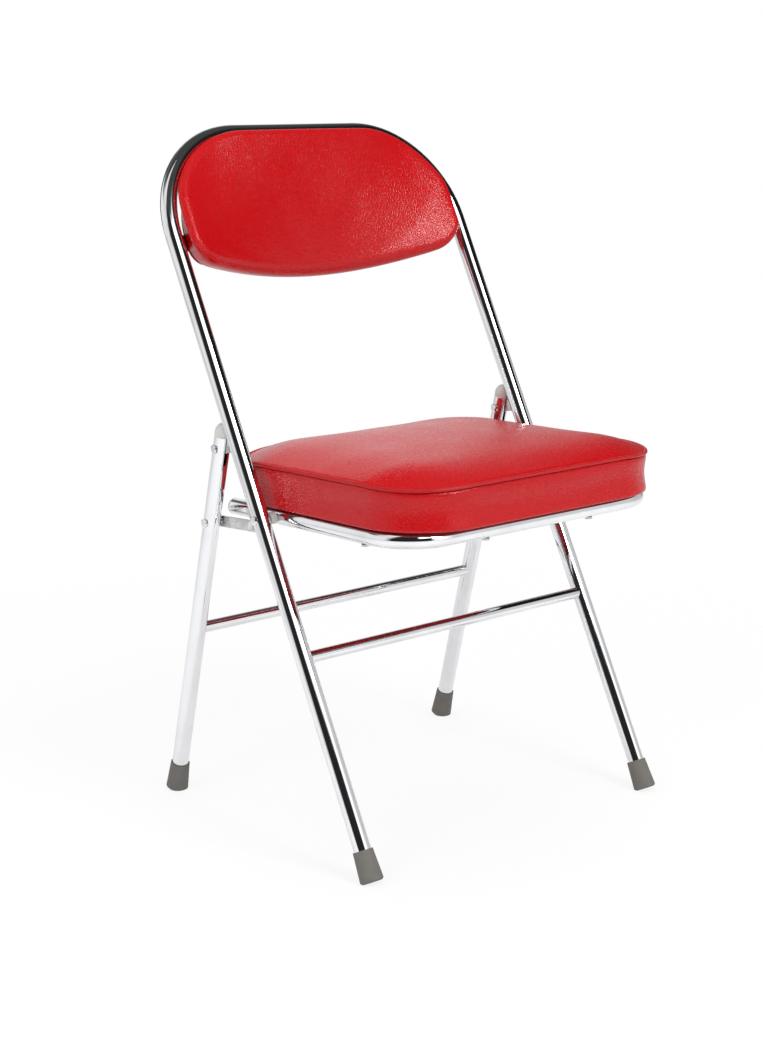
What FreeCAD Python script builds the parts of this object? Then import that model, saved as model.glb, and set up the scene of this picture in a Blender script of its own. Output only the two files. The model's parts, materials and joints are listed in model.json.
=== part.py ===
import FreeCAD, Part
import math
import os

Vector = FreeCAD.Vector
AXIS_X = Vector(1, 0, 0)
AXIS_Z = Vector(0, 0, 1)

# Driving dimensions in millimetres and degrees.
# The chair faces -Y, the sitter's left is +X and the feet stand on Z = 0.

# Bent front frame
tube_diameter = 20.0
tube_wall = 1.2
seat_side_gap = 17.5
frame_lean = 27.7
frame_length = 897.0
bend_radius = 127.0

# Rear legs
leg_tilt = 13.9
hinge_height = 445.0
hinge_behind = 33.0
leg_above_hinge = 15.5

# Stretchers
crossbar_diameter = 14.0
crossbar_wall = 1.0
front_crossbar_height = 229.0
rear_crossbar_height = 218.0

# Rubber feet
foot_top_diameter = 23.0
foot_bottom_diameter = 27.0
foot_height = 36.0
foot_floor = 9.0
front_foot_lift = 2.0
rear_foot_lift = 1.0
foot_rim_bevel = 2.0

# Rivets and pins
rivet_diameter = 6.0
rivet_head_diameter = 11.0
rivet_head_height = 2.2

# Hinge tabs behind the front tubes
tab_thickness = 3.0
tab_eye_radius = 8.3
tab_root_above = 18.0
tab_root_below = 22.0
tab_waist = 9.5

# End caps on the rear legs
cap_height = 15.0
cap_plug_length = 6.0
cap_tip_diameter = 9.0
cap_shoulder = 2.5

# Seat frame
seat_pivot_height = 374.0
seat_slope = 2.0
seat_tube_diameter = 19.0
seat_tube_wall = 1.2
seat_tube_inset = 10.5
seat_tube_front = 220.0
seat_tube_rear = 88.0
seat_tube_corner = 55.0
seat_crossbar_back = 66.0
seat_plug_flange = 2.5
seat_plug_length = 14.0

# Seat board and cushion, measured from the seat pivot
seat_width = 405.0
seat_front = 246.0
seat_rear = 120.0
seat_front_corner = 85.0
seat_rear_corner = 95.0
seat_board_thickness = 9.0
seat_board_inset = 5.0
seat_seam_height = 57.5
seat_crown = 14.5
seat_crown_reach = 78.0
seat_crown_steps = 5
seat_side_draw = 3.0
piping_diameter = 4.5

# Seat screws
screw_diameter = 4.0
screw_head_diameter = 8.5
screw_head_height = 2.2
screw_bite = 6.5
seat_screw_front = 150.0
seat_screw_back = 24.0
seat_screw_side = 80.0

# Fold links
lug_thickness = 3.0
lug_eye_radius = 8.0
lug_back = 36.0
lug_drop = 14.0
lug_root_front = 14.0
lug_root_back = 52.0
lug_root_rise = 5.0
link_thickness = 2.5
link_width = 13.0
link_to_tube = 1.1
link_rivet_diameter = 5.0
link_rivet_head = 9.0
link_rivet_flange = 0.8
link_pin_head = 10.0
link_pin_flange = 1.4

# Spacers on the seat pivots
spacer_diameter = 14.0

# Backrest, in the plane of the front frame; its lower edge is hollowed towards the back
back_bottom = 722.0
back_bottom_radius = 1950.0
back_bottom_corner = 31.0
back_tube_gap = 5.5
back_lip = 8.0
back_hollow = 50.0
back_pad_behind = 10.0
back_edge_height = 23.0
back_pad_thickness = 32.0
back_crown_reach = 60.0
back_board_thickness = 4.0
back_board_inset = 12.0
back_tab_thickness = 2.5
back_tab_width = 20.0
back_side_tab = 767.0
back_top_tab = 50.0

# Clearances
weld_gap = 0.05
fit_gap = 0.05
running_gap = 0.3
soft_gap = 0.3
stop_gap = 0.3
slot_gap = 0.6

# Values that follow from the driving dimensions
lean = math.radians(frame_lean)
tilt = math.radians(leg_tilt)
slope = math.radians(seat_slope)
tube_spacing = seat_width + 2 * seat_side_gap
seat_tube_spacing = seat_width - 2 * seat_tube_inset
half_spacing = tube_spacing / 2
tube_radius = tube_diameter / 2
seat_tube_radius = seat_tube_diameter / 2
rivet_hole = rivet_diameter + 2 * fit_gap
screw_hole = screw_diameter + 2 * fit_gap
top_reach = frame_length * math.sin(lean) + tube_radius
welt_front = seat_front - piping_diameter / 2
welt_reach = welt_front * math.cos(slope) - seat_seam_height * math.sin(slope) + piping_diameter / 2
seat_reach = welt_reach - seat_pivot_height * math.tan(lean)
front_foot_y = (seat_reach - top_reach) / 2
hinge_y = front_foot_y + hinge_height * math.tan(lean) + hinge_behind / math.cos(lean)
rear_foot_y = hinge_y + hinge_height * math.tan(tilt)
seat_pivot_y = front_foot_y + seat_pivot_height * math.tan(lean)
leg_length = hinge_height / math.cos(tilt)
hinge_along = (hinge_y - front_foot_y) * math.sin(lean) + hinge_height * math.cos(lean)
seat_pivot_along = seat_pivot_height / math.cos(lean)
tube_inner_x = half_spacing - tube_radius
seat_tube_outer_x = (seat_tube_spacing + seat_tube_diameter) / 2
link_outer_x = tube_inner_x - link_to_tube
link_inner_x = link_outer_x - link_thickness
seat_bottom = seat_tube_radius + weld_gap
seat_board_top = seat_bottom + seat_board_thickness


def on_front(shape):
    """Place a shape drawn with Z along the front tube, +Y behind it and the floor at Z = 0."""
    placed = shape.copy()
    placed.rotate(Vector(0, 0, 0), AXIS_X, -frame_lean)
    placed.translate(Vector(0, front_foot_y, 0))
    return placed


def on_leg(shape):
    """Place a shape drawn with Z up the rear leg, +Y behind it and the hinge at the origin."""
    placed = shape.copy()
    placed.rotate(Vector(0, 0, 0), AXIS_X, leg_tilt)
    placed.translate(Vector(0, hinge_y, hinge_height))
    return placed


def on_seat(shape):
    """Place a shape drawn level, with +Y to the rear and the seat pivot at the origin."""
    placed = shape.copy()
    placed.rotate(Vector(0, 0, 0), AXIS_X, -seat_slope)
    placed.translate(Vector(0, seat_pivot_y, seat_pivot_height))
    return placed


def turn(point, angle):
    """Turn a (y, z) point about the origin, positive in the folding direction."""
    y, z = point
    cosine, sine = math.cos(angle), math.sin(angle)
    return (y * cosine + z * sine, z * cosine - y * sine)


def link_pin_drop():
    """Distance of the link pin below the hinge, for one link length both open and folded."""
    leg_turn = lean + tilt
    seat_turn = math.pi / 2 + lean - slope
    hinge = (hinge_y - seat_pivot_y, hinge_height - seat_pivot_height)
    lug_open = turn((lug_back, -lug_drop), slope)
    lug_folded = turn(lug_open, seat_turn)
    down_open = (math.sin(tilt), -math.cos(tilt))
    down_folded = turn(down_open, leg_turn)
    to_open = (hinge[0] - lug_open[0], hinge[1] - lug_open[1])
    to_folded = (hinge[0] - lug_folded[0], hinge[1] - lug_folded[1])
    change = to_folded[0] ** 2 + to_folded[1] ** 2 - to_open[0] ** 2 - to_open[1] ** 2
    along_open = down_open[0] * to_open[0] + down_open[1] * to_open[1]
    along_folded = down_folded[0] * to_folded[0] + down_folded[1] * to_folded[1]
    return change / (2 * (along_open - along_folded))


pin_drop = link_pin_drop()
pin_y = hinge_y + pin_drop * math.sin(tilt)
pin_z = hinge_height - pin_drop * math.cos(tilt)
lug_y = seat_pivot_y + turn((lug_back, -lug_drop), slope)[0]
lug_z = seat_pivot_height + turn((lug_back, -lug_drop), slope)[1]


def rod(diameter, x_from, x_to, y=0.0, z=0.0):
    """Cylinder along X."""
    return Part.makeCylinder(diameter / 2, x_to - x_from, Vector(x_from, y, z), AXIS_X)


def upright(diameter, z_from, z_to, x=0.0, y=0.0):
    """Cylinder along Z."""
    return Part.makeCylinder(diameter / 2, z_to - z_from, Vector(x, y, z_from))


def hollow_rod(diameter, wall, half_length, y=0.0, z=0.0):
    outer = rod(diameter, -half_length, half_length, y, z)
    return outer.cut(rod(diameter - 2 * wall, -half_length, half_length, y, z))


def bent_rod(points, radius, diameter):
    """Round bar along straight runs joined by tangent arcs of one radius."""
    edges = []
    start = points[0]
    for before, corner, after in zip(points, points[1:], points[2:]):
        back = (before - corner).normalize()
        on = (after - corner).normalize()
        first = corner + back * radius
        last = corner + on * radius
        middle = corner + (back + on) * radius * (1 - math.sqrt(0.5))
        edges.append(line(start, first))
        edges.append(arc(first, middle, last))
        start = last
    edges.append(line(start, points[-1]))
    along = (points[1] - points[0]).normalize()
    circle = Part.Wire([Part.makeCircle(diameter / 2, points[0], along)])
    return Part.Wire(edges).makePipeShell([circle], True, False)


def bent_tube(points, radius, diameter, wall):
    return bent_rod(points, radius, diameter).cut(bent_rod(points, radius, diameter - 2 * wall))


def rivet(diameter, head, height, x_from, x_to):
    """Rivet along X whose domed heads sit outside x_from and x_to."""
    shank = diameter / 2
    rim = head / 2
    dome = [(height * 0.45, rim), (height * 0.85, rim * 0.74), (height, rim * 0.3)]
    left = [Vector(x_from - x, radius, 0) for x, radius in dome]
    right = [Vector(x_to + x, radius, 0) for x, radius in dome]
    tip_left = Vector(x_from - height, 0, 0)
    tip_right = Vector(x_to + height, 0, 0)
    corners = [left[0], Vector(x_from, rim, 0), Vector(x_from, shank, 0),
               Vector(x_to, shank, 0), Vector(x_to, rim, 0), right[0]]
    outline = [line(tip_left, left[2]), arc(left[2], left[1], left[0])]
    outline += [line(here, there) for here, there in zip(corners, corners[1:])]
    outline += [arc(right[0], right[1], right[2]), line(right[2], tip_right), line(tip_right, tip_left)]
    return spun(outline, AXIS_X)


def spun(outline, axis):
    """Solid of revolution of a closed outline about an axis through the origin."""
    solid = Part.Face(Part.Wire(outline)).revolve(Vector(0, 0, 0), axis, 360)
    if solid.Volume < 0:
        solid.reverse()
    return solid


def plate(edges, x_from, thickness):
    """Flat plate across X from edges drawn in a plane of constant X."""
    return Part.Face(Part.Wire(edges)).extrude(Vector(thickness, 0, 0)).translated(Vector(x_from, 0, 0))


def line(a, b):
    return Part.LineSegment(a, b).toShape()


def arc(a, b, c):
    return Part.Arc(a, b, c).toShape()


def mirrored(shape):
    return shape.mirror(Vector(0, 0, 0), AXIS_X)


# Front frame

def front_tube_solid():
    """Outside of one straight front tube, for coping what is welded to it."""
    return upright(tube_diameter + 2 * weld_gap, 0, frame_length - bend_radius, half_spacing)


def frame_points():
    """Corners of the front frame's axis in its own plane."""
    start = foot_floor + front_foot_lift
    return [
        Vector(-half_spacing, 0, start),
        Vector(-half_spacing, 0, frame_length),
        Vector(half_spacing, 0, frame_length),
        Vector(half_spacing, 0, start),
    ]


def front_frame_tube():
    tube = bent_tube(frame_points(), bend_radius, tube_diameter, tube_wall)
    pivot_hole = rod(rivet_hole, -tube_spacing, tube_spacing, 0, seat_pivot_along)
    return on_front(tube.cut(pivot_hole))


def crossbar_between(y, z, cope):
    bar = hollow_rod(crossbar_diameter, crossbar_wall, half_spacing, y, z)
    return bar.cut(cope).cut(mirrored(cope))


def front_crossbar():
    return on_front(crossbar_between(0, front_crossbar_height / math.cos(lean), front_tube_solid()))


def hinge_tab():
    x = half_spacing - tab_thickness / 2
    eye = Vector(x, hinge_behind, hinge_along)
    top = eye + Vector(0, 0, tab_eye_radius)
    bottom = eye - Vector(0, 0, tab_eye_radius)
    root_top = Vector(x, 0, hinge_along + tab_root_above)
    root_bottom = Vector(x, 0, hinge_along - tab_root_below)
    waist = Vector(x, (tube_radius + hinge_behind) / 2, hinge_along - tab_waist)
    tab = plate([
        line(root_top, top),
        arc(top, eye + Vector(0, tab_eye_radius, 0), bottom),
        arc(bottom, waist, root_bottom),
        line(root_bottom, root_top),
    ], 0, tab_thickness)
    hole = rod(rivet_hole, x - tab_thickness, x + 2 * tab_thickness, hinge_behind, hinge_along)
    return on_front(tab.cut(hole).cut(front_tube_solid()))


def foot(lift, tube_size):
    """Rubber ferrule drawn up its own tube, lift above the point where the axis meets the floor."""
    bottom = foot_bottom_diameter / 2
    top = foot_top_diameter / 2
    height = lift + foot_height
    edges = [
        line(Vector(0, 0, lift), Vector(bottom - foot_rim_bevel, 0, lift)),
        line(Vector(bottom - foot_rim_bevel, 0, lift), Vector(bottom, 0, lift + foot_rim_bevel)),
        line(Vector(bottom, 0, lift + foot_rim_bevel), Vector(top, 0, height)),
        line(Vector(top, 0, height), Vector(0, 0, height)),
        line(Vector(0, 0, height), Vector(0, 0, lift)),
    ]
    body = spun(edges, AXIS_Z)
    socket = upright(tube_size + 2 * fit_gap, lift + foot_floor - fit_gap, height + 1)
    return body.cut(socket).translated(Vector(half_spacing, 0, 0))


def stood_on_floor(shape):
    """Cut a foot flat where it would reach below the floor."""
    size = 4 * tube_spacing
    ground = Part.makeBox(size, size, size, Vector(-size / 2, -size / 2, -size))
    return shape.cut(ground)


def front_foot():
    return stood_on_floor(on_front(foot(front_foot_lift, tube_diameter)))


back_wide = half_spacing - tube_radius - back_tube_gap
back_high = frame_length - tube_radius - back_tube_gap
back_shoulder = bend_radius - tube_radius - back_tube_gap
back_steps = (0.12, 0.36, 0.6, 0.82, 0.95, 0.99, 1.0)
back_shares = [-share for share in reversed(back_steps)] + list(back_steps)
back_stations = [share * back_wide for share in back_shares]


def back_top(x, inset):
    """Top of the backrest outline at a distance from the middle."""
    radius = back_shoulder - inset
    past = abs(x) - (back_wide - back_shoulder)
    drop = radius - math.sqrt(max(0.0, radius ** 2 - past ** 2)) if past > 0 else 0.0
    return back_high - inset - drop


def back_low(x, inset):
    """Bottom of the backrest outline at a distance from the middle."""
    corner = back_bottom_corner - inset
    sweep = back_bottom_radius - inset
    low = back_bottom + inset
    across = back_wide - back_bottom_corner
    corner_z = low + sweep - math.sqrt((sweep - corner) ** 2 - across ** 2)
    if abs(x) <= across * sweep / (sweep - corner):
        return low + sweep - math.sqrt(sweep ** 2 - x ** 2)
    return corner_z - math.sqrt(max(0.0, corner ** 2 - (abs(x) - across) ** 2))


def back_bend(x, z):
    """How far the hollowed backrest lies behind its own edges, straight between the stations."""
    depth = back_hollow * (back_high - z) / (back_high - back_bottom)
    shares = [(station, 1 - (station / back_wide) ** 2) for station in back_stations]
    for (left, start), (right, end) in zip(shares, shares[1:]):
        if left <= x <= right:
            return depth * (start + (end - start) * (x - left) / (right - left))
    return 0.0


def back_pad_section(x):
    """Cross-section of the pad at one station; its lip laps over the inner half of the bent tube."""
    low = back_low(x, 0)
    high = back_top(x, 0)
    lip = back_top(x, -back_lip)
    end = back_wide - abs(x) < 0.001
    rise = back_pad_thickness - back_edge_height
    side = back_edge_height - 4.0
    rear = 3.0 if end else 0.0
    points = [(low + 1.5, rear), (low, 3.0), (low, side)]
    for share in (0.02, 0.13, 0.3, 0.5, 0.7, 0.87, 0.98):
        z = low + (lip - low) * share
        edge = min(z - low, lip - z, back_wide - abs(x))
        swell = rise * (1 - (1 - min(edge / back_crown_reach, 1.0)) ** 2.2)
        points.append((z, side if end else back_edge_height + swell))
    points += [(lip, side - 0.3 if end else side + 2.5), (lip, side - 0.8), (high, side - 3.0)]
    points += [(high, 3.0), (high - 1.5, rear)]
    return closed([Vector(x, back_pad_behind - out + back_bend(x, z), z) for z, out in points])


def closed(points):
    return Part.makePolygon(points + points[:1])


def back_pad_form():
    """Crowned pad between the tubes, hollowed towards its lower edge."""
    return Part.makeLoft([back_pad_section(x) for x in back_stations], True, True)


def backrest_pad():
    return on_front(back_pad_form())


def back_face(x, z):
    """Rear face of the board, behind the tube axis."""
    return back_pad_behind + soft_gap + back_board_thickness + back_bend(x, z)


def back_board_section(x):
    low = back_low(x, back_board_inset)
    high = back_top(x, back_board_inset)
    front = back_board_thickness + 2 * soft_gap
    corners = [(low, front), (high, front), (high, 0.0), (low, 0.0)]
    return closed([Vector(x, back_face(x, z) - out, z) for z, out in corners])


def back_screw_places():
    """Where the tabs are screwed to the board, and the directions that the screws come from."""
    side = back_wide - back_board_inset - back_tab_width / 2
    top = back_high - back_board_inset - back_tab_width / 2
    places = []
    for x, z in ((-side, back_side_tab), (side, back_side_tab), (-back_top_tab, top), (back_top_tab, top)):
        across = (back_face(x + 1, z) - back_face(x - 1, z)) / 2
        along = (back_face(x, z + 1) - back_face(x, z - 1)) / 2
        places.append((Vector(x, back_face(x, z), z), Vector(-across, 1, -along).normalize()))
    return places


def back_screw_hole(place, normal):
    reach = back_board_thickness + 4 * back_tab_thickness
    return Part.makeCylinder(screw_hole / 2, 2 * reach, place - normal * reach, normal)


def back_board_form():
    """Board that follows the back of the pad."""
    edge = back_wide - back_board_inset
    stations = [-edge] + [x for x in back_stations if abs(x) < edge] + [edge]
    board = Part.makeLoft([back_board_section(x) for x in stations], True, True)
    return board.cut(back_pad_form().translated(Vector(0, soft_gap, 0)))


def backrest_board():
    board = back_board_form()
    for place, normal in back_screw_places():
        board = board.cut(back_screw_hole(place, normal))
    return on_front(board)


def side_tab_section(z):
    """Bent tab from the board's side to the front tube, at one height."""
    inner = back_wide - back_board_inset - back_tab_width
    knee = back_wide - back_board_inset
    front = [(inner, back_face(inner, z)), (knee, back_face(knee, z)), (half_spacing, tube_radius / 2)]
    rear = [(x, y + back_tab_thickness) for x, y in reversed(front)]
    return closed([Vector(x, y + weld_gap, z) for x, y in front + rear])


def top_tab_section(x):
    """Bent tab from the board's top to the top of the bent tube, at one distance from the middle."""
    knee = back_high - back_board_inset
    inner = knee - back_tab_width
    front = [(inner, back_face(x, inner)), (knee, back_face(x, knee)), (frame_length, tube_radius / 2)]
    rear = [(z, y + back_tab_thickness) for z, y in reversed(front)]
    return closed([Vector(x, y + weld_gap, z) for z, y in front + rear])


def backrest_tabs():
    """Four bent tabs welded to the tube, two at the sides and two at the top, coped to it."""
    frame = bent_rod(frame_points(), bend_radius, tube_diameter + 2 * weld_gap)
    half = back_tab_width / 2
    side_ends = [side_tab_section(back_side_tab + way * half) for way in (-1, 1)]
    top_ends = [top_tab_section(back_top_tab + way * half) for way in (-1, 1)]
    side = Part.makeLoft(side_ends, True, True)
    top = Part.makeLoft(top_ends, True, True)
    board = back_board_form().translated(Vector(0, weld_gap, 0))
    tabs = []
    for tab, (place, normal) in ((side, back_screw_places()[1]), (top, back_screw_places()[3])):
        tab = tab.cut(frame).cut(board).cut(back_screw_hole(place, normal))
        tabs += [tab, mirrored(tab)]
    return on_front(Part.makeCompound(tabs))


def backrest_screws():
    screws = []
    for place, normal in back_screw_places():
        head = place + normal * (back_tab_thickness + weld_gap)
        bite = back_tab_thickness + back_board_thickness * 0.8
        shank = Part.makeCylinder(screw_diameter / 2, bite, head, normal * -1)
        cap = Part.makeCylinder(screw_head_diameter / 2, screw_head_height, head, normal)
        screws.append(shank.fuse(cap).removeSplitter())
    return on_front(Part.makeCompound(screws))


def seat_pivot_rivet():
    pin = rivet(rivet_diameter, rivet_head_diameter, rivet_head_height,
                seat_tube_outer_x - seat_tube_diameter - running_gap, half_spacing + tube_radius)
    return pin.translated(Vector(0, seat_pivot_y, seat_pivot_height))


def seat_spacer():
    ring = rod(spacer_diameter, seat_tube_outer_x + running_gap, tube_inner_x)
    ring = ring.cut(rod(rivet_hole, seat_tube_outer_x, tube_inner_x + 1))
    return ring.translated(Vector(0, seat_pivot_y, seat_pivot_height))


# Rear legs

def leg_solid():
    """Outside of one rear leg, for coping what is welded to it."""
    return upright(tube_diameter + 2 * weld_gap, -leg_length, leg_above_hinge, half_spacing)


def tab_slot():
    """Room for the hinge tab, open to the front and the top of the leg."""
    width = tab_thickness + 2 * slot_gap
    below = tab_eye_radius + tab_waist
    back = tab_eye_radius + running_gap
    return Part.makeBox(width, tube_diameter + back, below + leg_above_hinge + 2 * cap_height,
                        Vector(half_spacing - width / 2, -tube_diameter, -below))


def front_of_slot():
    """The part of the slot that opens the front wall of the leg."""
    width = tab_thickness + 2 * slot_gap
    below = tab_eye_radius + tab_waist
    return Part.makeBox(width, tube_diameter, below + leg_above_hinge + 2 * cap_height,
                        Vector(half_spacing - width / 2, -tube_diameter, -below))


def rear_leg():
    start = foot_floor + rear_foot_lift - leg_length
    tube = upright(tube_diameter, start, leg_above_hinge, half_spacing)
    tube = tube.cut(upright(tube_diameter - 2 * tube_wall, start, leg_above_hinge, half_spacing))
    tube = tube.cut(front_of_slot())
    for z in (0, -pin_drop):
        tube = tube.cut(rod(rivet_hole, 0, tube_spacing, 0, z))
    return on_leg(tube)


def rear_crossbar():
    z = -(hinge_height - rear_crossbar_height) / math.cos(tilt)
    return on_leg(crossbar_between(0, z, leg_solid()))


def leg_hinge_rivet():
    pin = rivet(rivet_diameter, rivet_head_diameter, rivet_head_height,
                half_spacing - tube_radius, half_spacing + tube_radius)
    return pin.translated(Vector(0, hinge_y, hinge_height))


def leg_end_cap():
    """Plug with a domed head, bevelled where it rests on the front tube and slotted for the tab."""
    base = leg_above_hinge + fit_gap
    top = base + cap_height
    tip = cap_tip_diameter / 2
    shoulder = base + cap_shoulder
    plug = tube_radius - tube_wall - fit_gap
    bulge = Vector(tip + (tube_radius - tip) * 0.78, 0, shoulder + (top - shoulder) * 0.62)
    head = spun([
        line(Vector(0, 0, base - cap_plug_length), Vector(plug, 0, base - cap_plug_length)),
        line(Vector(plug, 0, base - cap_plug_length), Vector(plug, 0, base)),
        line(Vector(plug, 0, base), Vector(tube_radius, 0, base)),
        line(Vector(tube_radius, 0, base), Vector(tube_radius, 0, shoulder)),
        arc(Vector(tube_radius, 0, shoulder), bulge, Vector(tip, 0, top)),
        line(Vector(tip, 0, top), Vector(0, 0, top)),
        line(Vector(0, 0, top), Vector(0, 0, base - cap_plug_length)),
    ], AXIS_Z)
    head = on_leg(head.translated(Vector(half_spacing, 0, 0)).cut(tab_slot()))
    reach = 4 * tube_diameter
    stop = Part.makeBox(2 * reach, 2 * reach, 2 * reach,
                        Vector(half_spacing - reach, tube_radius + stop_gap - 2 * reach, hinge_along - reach))
    return head.cut(on_front(stop))


def rear_foot():
    return stood_on_floor(on_leg(foot(rear_foot_lift, tube_diameter).translated(Vector(0, 0, -leg_length))))


def link_leg_pin():
    """Shouldered pin through the rear leg: outer head, collar against the leg, thin inner head."""
    shank = rivet_diameter / 2
    collar = link_rivet_head / 2
    thin = link_pin_head / 2
    rim = rivet_head_diameter / 2
    outside = half_spacing + tube_radius
    steps = [
        (link_inner_x - link_pin_flange, 0),
        (link_inner_x - link_pin_flange, thin),
        (link_inner_x - fit_gap, thin),
        (link_inner_x - fit_gap, shank),
        (link_outer_x + fit_gap, shank),
        (link_outer_x + fit_gap, collar),
        (tube_inner_x, collar),
        (tube_inner_x, shank),
        (outside, shank),
        (outside, rim),
        (outside + rivet_head_height * 0.6, rim),
        (outside + rivet_head_height, rim * 0.6),
        (outside + rivet_head_height, 0),
    ]
    points = [Vector(x, radius, 0) for x, radius in steps]
    edges = [line(here, there) for here, there in zip(points, points[1:] + points[:1])]
    return spun(edges, AXIS_X).translated(Vector(0, pin_y, pin_z))


# Seat

def seat_outline(inset, z):
    """Rounded seat outline, drawn level about the seat pivot."""
    wide = seat_width / 2 - inset
    front = -seat_front + inset
    rear = seat_rear - inset
    near = seat_front_corner - inset
    far = seat_rear_corner - inset
    half = math.sqrt(0.5)
    corners = [
        (wide - near, front + near, near, 1, -1),
        (wide - far, rear - far, far, 1, 1),
        (far - wide, rear - far, far, -1, 1),
        (near - wide, front + near, near, -1, -1),
    ]
    edges = []
    ends = []
    for x, y, radius, right, back in corners:
        along_x = Vector(x, y + back * radius, z)
        along_y = Vector(x + right * radius, y, z)
        middle = Vector(x + right * radius * half, y + back * radius * half, z)
        first, last = (along_x, along_y) if right * back < 0 else (along_y, along_x)
        ends.append((first, last))
        edges.append(arc(first, middle, last))
    wire = []
    for number, edge in enumerate(edges):
        wire.append(edge)
        wire.append(line(ends[number][1], ends[(number + 1) % 4][0]))
    return Part.Wire(wire)


def seat_frame_tube():
    wide = seat_tube_spacing / 2
    points = [
        Vector(-wide, seat_tube_rear, 0),
        Vector(-wide, -seat_tube_front, 0),
        Vector(wide, -seat_tube_front, 0),
        Vector(wide, seat_tube_rear, 0),
    ]
    tube = bent_tube(points, seat_tube_corner, seat_tube_diameter, seat_tube_wall)
    tube = tube.cut(rod(rivet_hole, -tube_spacing, tube_spacing))
    for x, y in seat_screw_places():
        tube = tube.cut(upright(screw_hole, -seat_tube_diameter, seat_tube_diameter, x, y))
    return on_seat(tube)


def seat_tube_side():
    """Outside of one side of the seat tube, for coping its stretcher."""
    side = Part.makeCylinder(seat_tube_radius + weld_gap, seat_tube_front + seat_tube_rear,
                             Vector(seat_tube_spacing / 2, -seat_tube_front, 0), Vector(0, 1, 0))
    return side


def seat_rear_crossbar():
    bar = hollow_rod(crossbar_diameter, crossbar_wall, seat_tube_spacing / 2, seat_crossbar_back)
    return on_seat(bar.cut(seat_tube_side()).cut(mirrored(seat_tube_side())))


def seat_end_plug():
    rear = Vector(seat_tube_spacing / 2, seat_tube_rear + fit_gap, 0)
    flange = Part.makeCylinder(seat_tube_radius, seat_plug_flange, rear, Vector(0, 1, 0))
    bore = seat_tube_radius - seat_tube_wall - fit_gap
    plug = Part.makeCylinder(bore, seat_plug_length, rear, Vector(0, -1, 0))
    rim = [edge for edge in flange.Edges if edge.BoundBox.YMin > rear.y + seat_plug_flange * 0.9]
    flange = flange.makeFillet(seat_plug_flange * 0.6, rim[:1])
    return on_seat(flange.fuse(plug).removeSplitter())


def seat_screw_places():
    wide = seat_tube_spacing / 2
    sides = [(side * wide, y) for y in (-seat_screw_front, seat_screw_back) for side in (-1, 1)]
    return sides + [(side * seat_screw_side, -seat_tube_front) for side in (-1, 1)]


def seat_board():
    board = Part.Face(seat_outline(seat_board_inset, seat_bottom)).extrude(Vector(0, 0, seat_board_thickness))
    for x, y in seat_screw_places():
        board = board.cut(upright(screw_hole, seat_bottom - 1, seat_bottom + screw_bite + fit_gap, x, y))
    return on_seat(board)


def seat_screws():
    screws = []
    for x, y in seat_screw_places():
        shank = upright(screw_diameter, -seat_tube_radius, seat_bottom + screw_bite, x, y)
        head = upright(screw_head_diameter, -seat_tube_radius - screw_head_height, -seat_tube_radius, x, y)
        screws.append(shank.fuse(head).removeSplitter())
    return on_seat(Part.makeCompound(screws))


def crown_steps(reach, rise, count):
    """Inset and height of each ring of a crowned top, steep at the edge and level in the middle."""
    steps = []
    for step in range(1, count + 1):
        share = step / count
        inset = reach * share ** 1.6
        height = rise * (1 - (1 - inset / reach) ** 2.2)
        steps.append((inset, height))
    return steps


def seat_cushion():
    """Boxed cushion drawn down over the board's edge, with a groove for the welt and a crowned top."""
    groove = piping_diameter + soft_gap
    lip = piping_diameter / 2 - 0.75
    rings = [
        (lip, seat_bottom),
        (lip + seat_side_draw, (seat_bottom + seat_seam_height) / 2),
        (lip, seat_seam_height - piping_diameter),
        (groove, seat_seam_height - piping_diameter / 3),
        (groove, seat_seam_height + piping_diameter / 3),
    ]
    reach = min(seat_crown_reach, min(seat_front_corner, seat_rear_corner) - groove - 1)
    for inset, height in crown_steps(reach, seat_crown, seat_crown_steps):
        rings.append((groove + inset, seat_seam_height + piping_diameter / 3 + height))
    cushion = Part.makeLoft([seat_outline(inset, z) for inset, z in rings], True, True)
    pocket = Part.Face(seat_outline(seat_board_inset - soft_gap, seat_bottom - 1))
    return on_seat(cushion.cut(pocket.extrude(Vector(0, 0, seat_board_thickness + 1 + soft_gap))))


def seat_piping():
    path = seat_outline(piping_diameter / 2, seat_seam_height)
    start = path.Edges[0]
    point = start.valueAt(start.FirstParameter)
    circle = Part.Wire([Part.makeCircle(piping_diameter / 2, point, start.tangentAt(start.FirstParameter))])
    return on_seat(path.makePipeShell([circle], True, False))


def seat_link_lug():
    eye = Vector(0, lug_back, -lug_drop)
    front = Vector(0, lug_root_front, lug_root_rise)
    back = Vector(0, lug_root_back, lug_root_rise)
    half = math.sqrt(0.5) * lug_eye_radius
    lug = plate([
        line(front, back),
        line(back, eye + Vector(0, half, half)),
        arc(eye + Vector(0, half, half), eye - Vector(0, 0, lug_eye_radius), eye + Vector(0, -half, half)),
        line(eye + Vector(0, -half, half), front),
    ], seat_tube_outer_x + weld_gap, lug_thickness)
    return on_seat(lug.cut(rod(link_rivet_diameter + 2 * fit_gap, 0, tube_spacing, lug_back, -lug_drop)))


# Fold links

def fold_link():
    """Strap from the pin on the rear leg to the lug under the seat."""
    length = math.hypot(pin_y - lug_y, pin_z - lug_z)
    half = link_width / 2
    strap = plate([
        line(Vector(0, 0, half), Vector(0, -length, half)),
        arc(Vector(0, -length, half), Vector(0, -length - half, 0), Vector(0, -length, -half)),
        line(Vector(0, -length, -half), Vector(0, 0, -half)),
        arc(Vector(0, 0, -half), Vector(0, half, 0), Vector(0, 0, half)),
    ], link_inner_x, link_thickness)
    strap = strap.cut(rod(rivet_hole, 0, tube_spacing))
    strap = strap.cut(rod(link_rivet_diameter + 2 * fit_gap, 0, tube_spacing, -length, 0))
    return placed_on_link(strap)


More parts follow.
